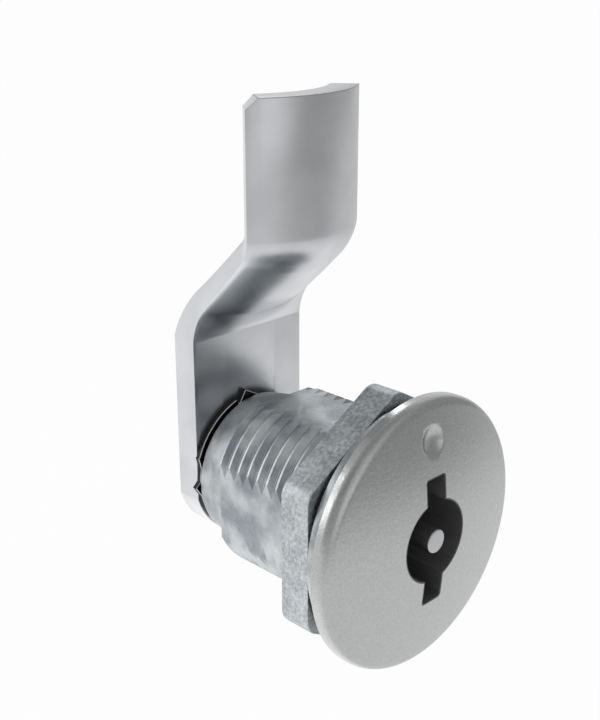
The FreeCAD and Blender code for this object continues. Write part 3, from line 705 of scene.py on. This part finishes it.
class Finish:
    """A procedural material on Object coordinates, or the world's own nodes."""

    def __init__(self, name, kind="materials"):
        self.material = getattr(bpy.data, kind).new(name)
        self.material.use_nodes = True
        self.tree = self.material.node_tree
        self.tree.nodes.clear()

    def node(self, kind, settings=None, values=None, output=0):
        """Any node: its settings first, then the values or links of its sockets."""
        made = self.tree.nodes.new(kind)
        for key, item in (settings or {}).items():
            setattr(made, key, item)
        for key, item in (values or {}).items():
            if isinstance(item, Wire):
                self.tree.links.new(item.socket, made.inputs[key])
            else:
                made.inputs[key].default_value = item
        return Wire(self, made.outputs[output]) if made.outputs else None

    def place(self, scale=(1, 1, 1)):
        """Object coordinates, in metres, scaled."""
        at = self.node("ShaderNodeTexCoord", output="Object")
        return self.node("ShaderNodeMapping", None, {"Vector": at, "Scale": scale})

    def vector(self, operation, *values, output=0):
        """A sum on vectors; a length or a dot product gives its answer as Value."""
        return self.node("ShaderNodeVectorMath", {"operation": operation},
                         dict(enumerate(values)), output)

    def ray(self, kind):
        """1 for rays of one kind, such as Camera, and 0 for the rest."""
        return self.node("ShaderNodeLightPath", output=f"Is {kind} Ray")

    def noise(self, size_mm, detail=2.0, rough=0.5, where=None):
        """Soft noise whose features are about the size given."""
        return self.node("ShaderNodeTexNoise", None,
                         {"Vector": where or self.place(), "Scale": 1 / (size_mm * MM),
                          "Detail": detail, "Roughness": rough})

    def blend(self, share, first, second):
        """A colour between two, by a value from 0 to 1."""
        return self.node("ShaderNodeMix", {"data_type": "RGBA"},
                         {"Factor": share, 6: first, 7: second}, 2)

    def bump(self, height, depth_mm):
        """A bumped normal; a height of 1 stands out by the depth given."""
        return self.node("ShaderNodeBump", None,
                         {"Height": height, "Distance": depth_mm * MM, "Strength": 1.0})

    def done(self, **values):
        """Joins the values to one surface shader and gives the material."""
        words = {key.replace("_", " ").title().replace("Ior", "IOR"): item
                 for key, item in values.items()}
        shader = self.node("ShaderNodeBsdfPrincipled", None, words)
        self.node("ShaderNodeOutputMaterial", None, {"Surface": shader})
        return self.material


def colour(red, green, blue):
    """A screen colour from 0 to 255 as the shader's linear one."""
    parts = [part / 255 for part in (red, green, blue)]
    return tuple(part / 12.92 if part <= 0.04045 else ((part + 0.055) / 1.055) ** 2.4
                 for part in parts) + (1.0,)


def cast_zinc():
    """Bright zinc with broad, soft clouds and hardly any grain."""
    made = Finish("cast_zinc")
    clouds = made.noise(3.6, 2.0, 0.45).step(0.34, 0.68)
    grain = made.noise(0.35, 2.0, 0.5).step(0.3, 0.75)
    shade = clouds * 0.85 + grain * 0.15
    return made.done(
        base_color=made.blend(shade, colour(142, 149, 154), colour(204, 209, 211)),
        metallic=1.0, roughness=0.32 + clouds * 0.12,
        normal=made.bump(grain * 0.4 + clouds * 2, 0.012))


def nut_zinc():
    """Duller zinc with a fine, sharp mottle."""
    made = Finish("mottled_zinc")
    fine = made.noise(0.45, 5.0, 0.72).step(0.36, 0.64)
    clouds = made.noise(2.4, 2.0, 0.5).step(0.35, 0.65)
    shade = fine * 0.75 + clouds * 0.25
    return made.done(
        base_color=made.blend(shade, colour(154, 160, 164), colour(216, 221, 223)),
        metallic=1.0, roughness=0.42 + fine * 0.12,
        normal=made.bump(fine, 0.008))


def satin_head():
    """Satin steel with the soft dimpling of a tumbled casting."""
    made = Finish("tumbled_satin_steel")
    peel = made.noise(0.5, 2.0, 0.5, made.place((0.6, 1.0, 1.2)))
    fine = made.noise(0.25, 2.0, 0.5)
    return made.done(
        base_color=made.blend(fine.step(0.3, 0.7), colour(178, 180, 180), colour(188, 190, 190)),
        metallic=1.0, roughness=0.27, normal=made.bump(peel + fine * 0.1, 0.015))


def cam_plate():
    """Smooth satin plate, its sheen only slightly uneven and its cut end duller."""
    made = Finish("smooth_cam_plate")
    drift = made.noise(5.0, 2.0, 0.5)
    fine = made.noise(0.4, 2.0, 0.5)
    at = made.node("ShaderNodeTexCoord", output="Object")
    height = made.node("ShaderNodeSeparateXYZ", None, {"Vector": at}, "Z")
    sheared = height.step((CAM_TOP - 0.15) * MM, (CAM_TOP - 0.05) * MM)
    plain = made.blend(drift.step(0.3, 0.7), colour(208, 210, 213), colour(218, 220, 223))
    return made.done(
        base_color=made.blend(sheared, plain, colour(184, 185, 187)),
        metallic=1.0, roughness=0.27 + fine * 0.04 + sheared * 0.15,
        normal=made.bump(fine, 0.0008))


def turned_steel():
    """Bright turned steel with faint rings round the axis."""
    made = Finish("turned_steel")
    fine = made.noise(0.25, 2.0, 0.5, made.place((1.0, 6.0, 1.0)))
    return made.done(
        base_color=made.blend(fine, colour(178, 179, 181), colour(200, 201, 203)),
        metallic=1.0, roughness=0.3 + fine * 0.12, normal=made.bump(fine, 0.002))


def black_moulding():
    """Charcoal moulding with drawn streaks along the key's way."""
    made = Finish("charcoal_moulding")
    drawn = made.noise(0.5, 2.0, 0.5, made.place((1.0, 0.2, 1.0)))
    return made.done(
        base_color=made.blend(drawn, colour(72, 72, 74), colour(92, 92, 94)),
        roughness=0.25 + drawn * 0.15, specular_ior_level=0.7)


def dark_steel():
    """Blackened steel, with a painted highlight: its marked front bevel is coloured light metal."""
    made = Finish("blackened_steel")
    fine = made.noise(0.6, 3.0, 0.5)
    painted_highlight = made.node("ShaderNodeAttribute", {"attribute_name": "painted_highlight_edge"}, output="Fac")
    black = made.blend(fine, colour(4, 4, 5), colour(10, 11, 12))
    return made.done(
        # the marked front bevel is painted light and more metallic, a painted highlight line
        base_color=made.blend(painted_highlight * (0.6 + fine * 0.4), black, colour(226, 227, 229)),
        metallic=painted_highlight * 0.8 + 0.2, roughness=0.45 + fine * 0.1)


def seal_rubber():
    """Matt black rubber."""
    made = Finish("seal_rubber")
    fine = made.noise(0.4, 2.0, 0.5)
    return made.done(base_color=made.blend(fine, colour(22, 22, 22), colour(30, 30, 30)),
                     roughness=0.65 + fine * 0.1)


# the object

zinc = cast_zinc()
nut_finish = nut_zinc()
satin = satin_head()
plate = cam_plate()
steel = turned_steel()
moulding = black_moulding()
blackened = dark_steel()
rubber = seal_rubber()


def fit(piece, node, body, finish):
    """Puts a modelled piece in a node's place."""
    piece.data.materials.clear()
    piece.data.materials.append(finish)
    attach(piece, body)
    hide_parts(node)


def dress(node, finish):
    """Gives a carried-over node its finish."""
    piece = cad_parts[node]
    piece.data.materials.clear()
    piece.data.materials.append(finish)


fit(make_housing(), "housing", "housing", zinc)
fit(make_nut(), "hex_nut", "housing", nut_finish)
fit(make_head(), "head_disc", "rotor", satin)
fit(make_cam(), "cam", "rotor", plate)
fit(make_insert(), "key_insert", "rotor", moulding)
fit(make_pin(), "key_pin", "rotor", steel)
fit(make_stop_disc(), "stop_disc", "rotor", blackened)
fit(make_washer(), "lock_washer", "rotor", steel)
fit(make_screw(), "cam_screw", "rotor", steel)
dress("spindle", steel)
dress("spindle_seal", rubber)


# floor, background, lamps and camera

def make_floor():
    """A pale floor that keeps the shadow and shows nearly white from above; to metal it glows as a
    painted pool of light.
    """
    below = 50.0
    fresh()
    bpy.ops.mesh.primitive_plane_add(size=4, location=(0, 0, -below * MM))
    floor = named("pale_floor")
    paint = Finish("pale_floor")
    eye = paint.ray("Camera")
    # to glossy rays the floor glows, a painted pool of light that metal reflects: brightest close by
    # at the back, and darker far out to the front; the distances are in metres
    at = paint.vector("MULTIPLY", paint.place(), (1.0, 1.0, 0.0))
    far = paint.vector("LENGTH", at, output="Value")
    way = paint.vector("NORMALIZE", at)
    front = paint.vector("DOT_PRODUCT", way, (0.45, -0.89, 0.0), output="Value")
    under = (1 - far.step(0.05, 0.12)) * (1 - front.step(-0.8, 0.0))
    fall = front.step(-0.6, 0.2) * 0.3 + front.step(0.7, 0.98) * 0.24
    # the painted glow's strength, as metal sees it
    sheen = 0.98 + under * 0.3 - far.step(0.08, 0.26) * fall
    most = 1.28  # the brightest that the floor gets
    lit = paint.node("ShaderNodeBsdfDiffuse", None, {"Color": (0.86, 0.86, 0.86, 1)})
    dark = paint.node("ShaderNodeEmission", None, {"Color": (1, 1, 1, 1), "Strength": 0.0})
    glow = paint.node("ShaderNodeEmission", None, {"Color": (1, 1, 1, 1), "Strength": most})
    bright = paint.node("ShaderNodeMixShader", None,
                        {0: (eye + (1 - eye) * sheen) / most, 1: dark, 2: glow})
    both = paint.node("ShaderNodeMixShader", None,
                      {0: eye * 0.97 + (paint.ray("Glossy") + paint.ray("Transmission")),
                       1: lit, 2: bright})
    paint.node("ShaderNodeOutputMaterial", None, {"Surface": both})
    floor.data.materials.append(paint.material)


def make_background():
    """White to the eye; to metal a soft studio, darker towards the front; dimmer as light."""
    studio = Finish("studio", "worlds")
    bpy.context.scene.world = studio.material
    eye = studio.ray("Camera")
    seen = studio.ray("Glossy") + studio.ray("Transmission")
    way = studio.node("ShaderNodeTexCoord", output="Generated")

    def toward(x, y, z):
        """How nearly a ray goes the given way, up to 1."""
        return studio.vector("DOT_PRODUCT", way, (x, y, z), output="Value")

    front = toward(0.8, -0.58, 0.2).step(0.5, 0.85)
    left = toward(-0.95, -0.2, 0.25).step(0.6, 0.95)
    high = toward(0.0, 0.3, 0.95).step(0.3, 1.0)
    roof = toward(0.0, -0.35, 0.94).step(0.5, 0.97)
    dark = (front * 0.5).larger(high * 0.3 + roof * 0.25)
    room = 0.9 - left * 0.42 - dark
    strength = eye + seen * room + (1 - eye - seen) * 0.5
    night = studio.node("ShaderNodeBackground", None, {"Color": (1, 1, 1, 1), "Strength": 0.0})
    day = studio.node("ShaderNodeBackground", None, {"Color": (1, 1, 1, 1), "Strength": 1.0})
    light = studio.node("ShaderNodeMixShader", None, {0: strength, 1: night, 2: day})
    studio.node("ShaderNodeOutputWorld", None, {"Surface": light})


def lamp(name, place, aim, size, power):
    """A soft square lamp, in millimetres, turned towards a point."""
    light = bpy.data.lights.new(name, "AREA")
    light.shape = "SQUARE"
    light.size = size * MM
    light.energy = power
    piece = bpy.data.objects.new(name, light)
    bpy.context.scene.collection.objects.link(piece)
    look = Vector(aim) - Vector(place)
    piece.location = Vector(place) * MM
    piece.rotation_euler = look.to_track_quat("-Z", "Y").to_euler()


def make_camera():
    """The camera, where the photo's was."""
    eye = bpy.data.cameras.new("studio_camera")
    eye.lens = CAMERA_LENS
    eye.sensor_width = CAMERA_SENSOR
    eye.clip_start = 0.002
    eye.clip_end = 10
    piece = bpy.data.objects.new("studio_camera", eye)
    bpy.context.scene.collection.objects.link(piece)
    piece.location = Vector(CAMERA_PLACE) * MM
    piece.rotation_euler = (radians(90 - CAMERA_DOWN), 0, radians(-CAMERA_TURN))
    bpy.context.scene.camera = piece


make_floor()
make_background()
lamp("left_lamp", (-156, 183, 180), (0, 0, 0), 30, 0.018)
lamp("right_lamp", (135, 177, 198), (0, 0, 0), 60, 0.05)
lamp("floor_lamp", (-260, 260, 120), (-60, 120, -50), 160, 0.15)
make_camera()
bpy.context.scene.view_settings.view_transform = "Standard"
